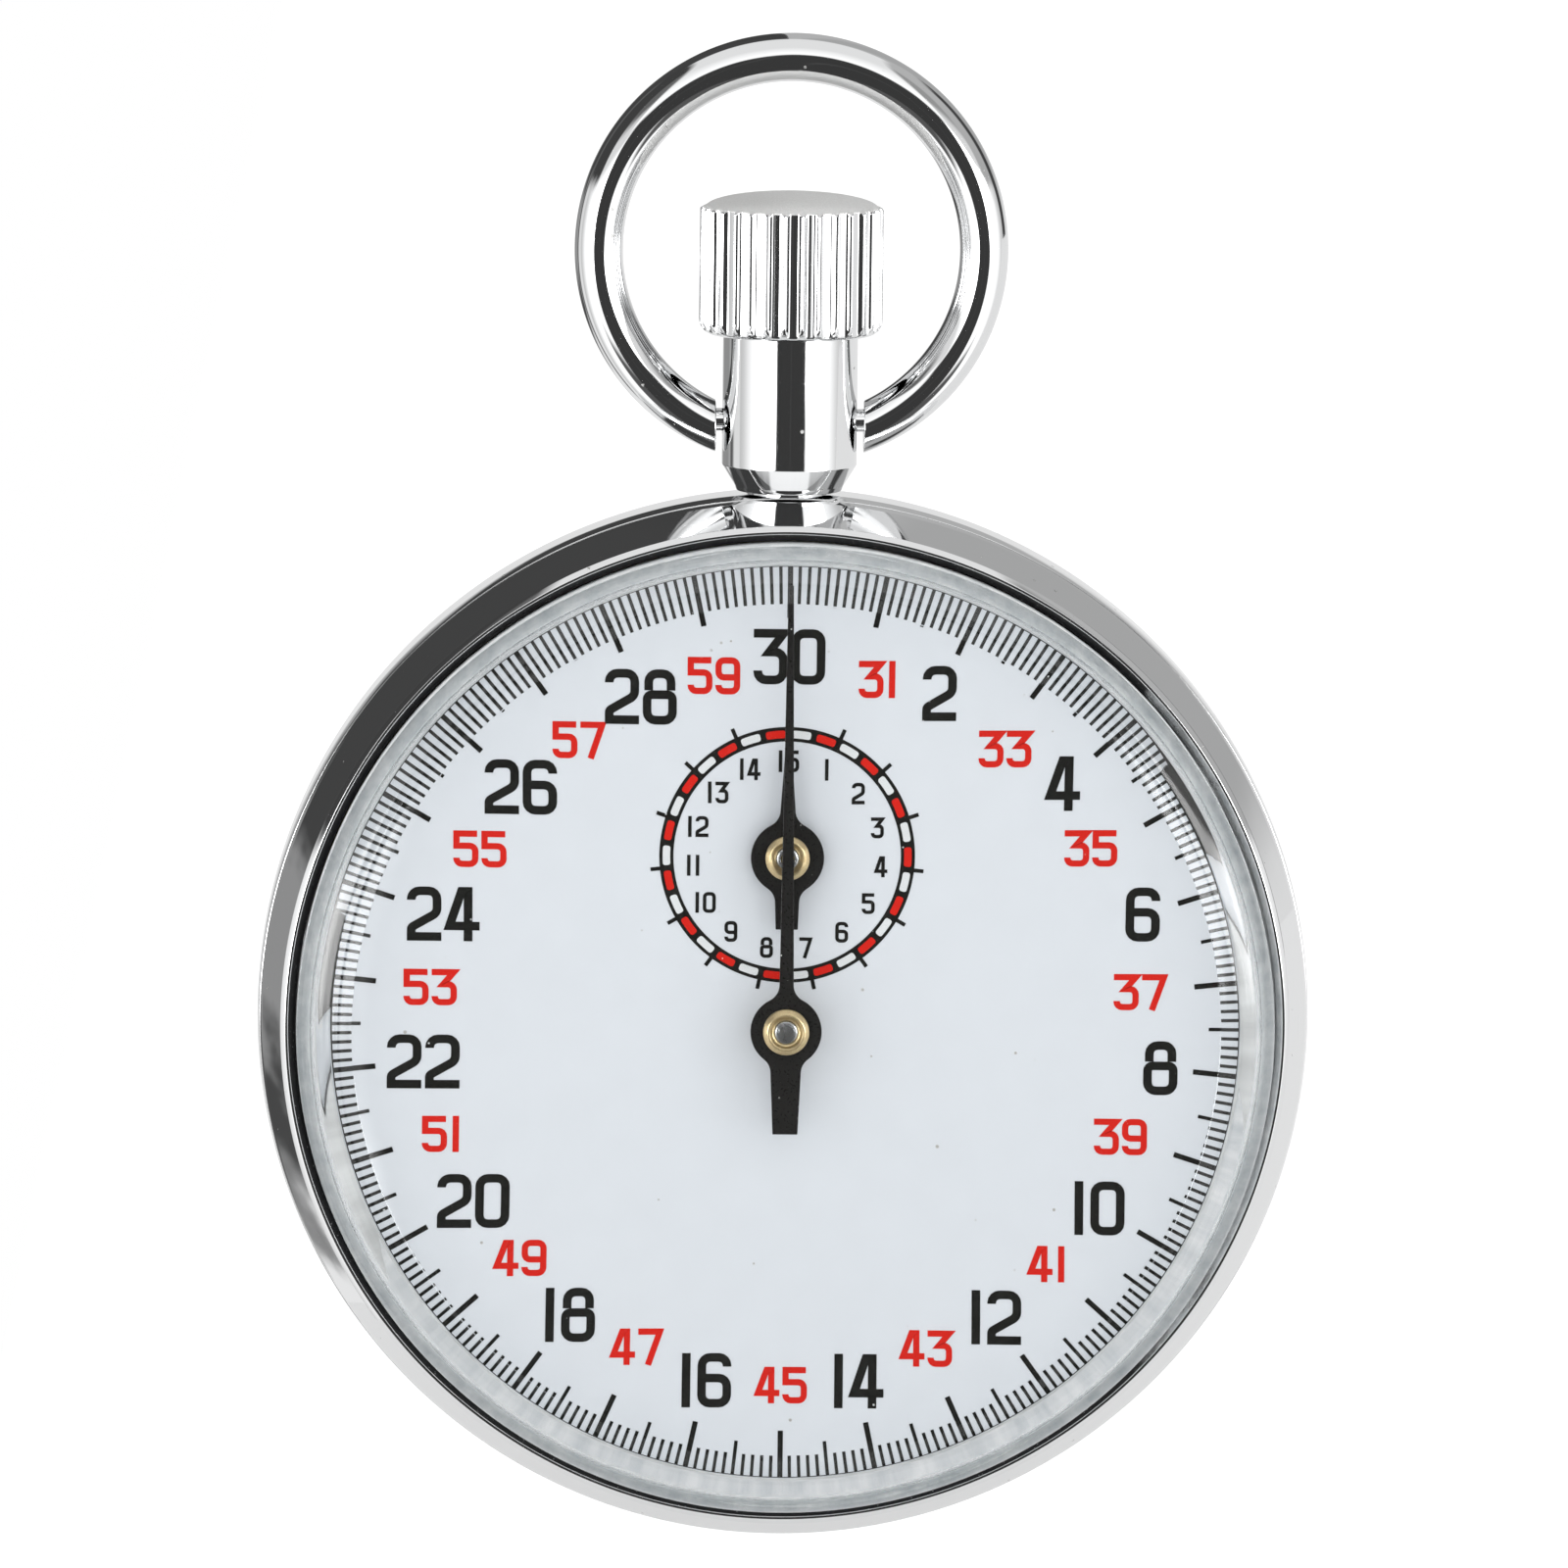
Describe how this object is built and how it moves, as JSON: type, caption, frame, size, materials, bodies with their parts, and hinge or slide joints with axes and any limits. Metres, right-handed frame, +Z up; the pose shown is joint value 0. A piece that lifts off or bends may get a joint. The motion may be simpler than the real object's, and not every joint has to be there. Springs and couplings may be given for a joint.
{
  "type": "mechanical stopwatch",
  "caption": "Crown-operated mechanical stopwatch with a chromed round case, domed crystal, white dial, sweep and minute hands, swinging bow and a complete lever movement.",
  "frame": {"origin": "centre of the case back's flat outer face, on the axis of the hands", "axes": "+Z up through crown and bow, +Y out of the case back, the dial faces -Y, +X to the right as seen from the dial side"},
  "size_m": [0.055, 0.0149, 0.0789],
  "materials": {
    "chrome_case": "polished chromium plate",
    "crown_steel": "satin plated, polished ridges",
    "crystal_clear": "clear, polished, domed",
    "dial_white": "matt white with printed black and red scales",
    "hand_black": "black lacquer, semi-matt",
    "plate_nickel": "nickel-plated brass, fine grained",
    "brass_wheels": "turned brass, circular grain",
    "movement_steel": "hardened steel, fine grained",
    "screw_blue": "heat-blued steel",
    "spring_steel": "tempered spring steel"
  },
  "bodies": {
    "case": {"case_middle": "chrome_case", "case_back": "chrome_case", "bezel": "chrome_case", "crystal": "crystal_clear", "tension_ring": "chrome_case", "pendant_neck": "chrome_case", "crown_spring": "spring_steel", "main_plate": "plate_nickel", "movement_ring": "brass_wheels", "case_screw_1": "screw_blue", "case_screw_2": "screw_blue", "barrel_bridge": "plate_nickel", "train_bridge": "plate_nickel", "balance_cock": "plate_nickel", "pallet_bridge": "plate_nickel", "bridge_screw_1": "screw_blue", "bridge_screw_2": "screw_blue", "bridge_screw_3": "screw_blue", "bridge_screw_4": "screw_blue", "bridge_screw_5": "screw_blue", "pallet_bridge_screw": "screw_blue", "crown_wheel_screw": "screw_blue", "click_spring": "spring_steel", "hairspring": "screw_blue", "operating_spring": "spring_steel", "hammer_spring": "spring_steel", "column_jumper": "spring_steel", "dial": "dial_white"},
    "bow": {"bow": "chrome_case"},
    "thrust_collar": {"thrust_collar": "movement_steel"},
    "crown": {"crown": "crown_steel", "winding_stem": "movement_steel"},
    "winding_pinion": {"winding_pinion": "movement_steel"},
    "crown_wheel": {"crown_wheel": "movement_steel"},
    "ratchet": {"ratchet_wheel": "movement_steel", "ratchet_screw": "screw_blue", "barrel_arbor": "movement_steel"},
    "click": {"click": "movement_steel"},
    "barrel": {"barrel": "brass_wheels", "barrel_lid": "brass_wheels", "mainspring": "spring_steel"},
    "second_wheel": {"second_wheel": "brass_wheels"},
    "sweep": {"sweep_arbor": "movement_steel", "sweep_wheel": "brass_wheels", "sweep_heart_cam": "movement_steel", "sweep_hand": "hand_black", "sweep_hand_collet": "brass_wheels"},
    "escape_wheel": {"escape_wheel": "movement_steel"},
    "pallet_fork": {"pallet_fork": "movement_steel"},
    "balance": {"balance_wheel": "brass_wheels", "balance_staff": "movement_steel"},
    "minute_idler": {"minute_idler": "brass_wheels"},
    "minute": {"minute_wheel": "brass_wheels", "minute_heart_cam": "movement_steel", "minute_hand": "hand_black", "minute_hand_collet": "brass_wheels"},
    "operating_lever": {"operating_lever": "movement_steel"},
    "brake_lever": {"brake_lever": "movement_steel"},
    "reset_hammer": {"reset_hammer": "movement_steel"},
    "column_wheel": {"column_wheel": "movement_steel"}
  },
  "joints": [
    {"name": "bow_swing", "type": "hinge", "parent": "case", "child": "bow", "pos_m": [0, -0.0055, 0.0312], "axis": [1, 0, 0], "range_deg": [-115, 115]},
    {"name": "crown_press", "type": "slide", "parent": "case", "child": "thrust_collar", "axis": [0, 0, -1], "range_m": [0, 0.0012], "stiffness_N_per_m": 1500, "springref_m": -0.0008, "deforming": ["crown_spring"]},
    {"name": "crown_wind", "type": "hinge", "parent": "thrust_collar", "child": "crown", "pos_m": [0, -0.0055, 0.0312], "axis": [0, 0, 1], "continuous": true},
    {"name": "winding_pinion_turn", "type": "hinge", "parent": "case", "child": "winding_pinion", "pos_m": [0, -0.0055, 0.019], "axis": [0, 0, 1], "continuous": true},
    {"name": "crown_wheel_turn", "type": "hinge", "parent": "case", "child": "crown_wheel", "pos_m": [0, -0.0026, 0.0166], "axis": [0, -1, 0], "continuous": true},
    {"name": "ratchet_turn", "type": "hinge", "parent": "case", "child": "ratchet", "pos_m": [-0.0086, -0.0026, 0.0116], "axis": [0, -1, 0], "continuous": true},
    {"name": "click_lift", "type": "hinge", "parent": "case", "child": "click", "pos_m": [-0.0166, -0.0026, 0.0086], "axis": [0, -1, 0], "range_deg": [0, 8]},
    {"name": "sweep_run", "type": "hinge", "parent": "case", "child": "sweep", "pos_m": [0, -0.008, 0], "axis": [0, -1, 0], "continuous": true},
    {"name": "second_run", "type": "hinge", "parent": "case", "child": "second_wheel", "pos_m": [-0.00523, -0.005, 0.00352], "axis": [0, -1, 0], "continuous": true},
    {"name": "barrel_run", "type": "hinge", "parent": "case", "child": "barrel", "pos_m": [-0.0086, -0.0055, 0.0116], "axis": [0, -1, 0], "continuous": true},
    {"name": "escape_run", "type": "hinge", "parent": "case", "child": "escape_wheel", "pos_m": [0.0013, -0.006, -0.00602], "axis": [0, -1, 0], "continuous": true},
    {"name": "idler_run", "type": "hinge", "parent": "case", "child": "minute_idler", "pos_m": [0.00264, -0.009, 0.00401], "axis": [0, -1, 0], "continuous": true},
    {"name": "minute_run", "type": "hinge", "parent": "case", "child": "minute", "pos_m": [0, -0.009, 0.00895], "axis": [0, -1, 0], "continuous": true},
    {"name": "pallet_rock", "type": "hinge", "parent": "case", "child": "pallet_fork", "pos_m": [0.0033, -0.006, -0.0089], "axis": [0, -1, 0], "range_deg": [-5, 5]},
    {"name": "balance_swing", "type": "hinge", "parent": "case", "child": "balance", "pos_m": [0.0056, -0.005, -0.0123], "axis": [0, -1, 0], "range_deg": [-240, 240]},
    {"name": "operating_lever_turn", "type": "hinge", "parent": "case", "child": "operating_lever", "pos_m": [0.008, -0.0054, 0.0209], "axis": [0, -1, 0], "range_deg": [0, 10.5]},
    {"name": "brake_turn", "type": "hinge", "parent": "case", "child": "brake_lever", "pos_m": [0.0156, -0.005, -0.0035], "axis": [0, 1, 0], "range_deg": [0, 4]},
    {"name": "hammer_drop", "type": "hinge", "parent": "case", "child": "reset_hammer", "pos_m": [0.0062, -0.0083, 0.015], "axis": [0, 1, 0], "range_deg": [0, 6]},
    {"name": "column_step", "type": "hinge", "parent": "case", "child": "column_wheel", "pos_m": [0.0115, -0.0085, 0.007], "axis": [0, -1, 0], "continuous": true}
  ],
  "couplings": [
    {"joint": "winding_pinion_turn", "follows": "crown_wind", "ratio": 1},
    {"joint": "crown_wheel_turn", "follows": "crown_wind", "ratio": 0.5},
    {"joint": "ratchet_turn", "follows": "crown_wind", "ratio": -0.3},
    {"joint": "second_run", "follows": "sweep_run", "ratio": -0.16667},
    {"joint": "barrel_run", "follows": "sweep_run", "ratio": 0.027778},
    {"joint": "escape_run", "follows": "sweep_run", "ratio": -10},
    {"joint": "idler_run", "follows": "sweep_run", "ratio": -0.2},
    {"joint": "minute_run", "follows": "sweep_run", "ratio": 0.033333},
    {"joint": "operating_lever_turn", "follows": "crown_press", "rad_per_m": 150}
  ]
}
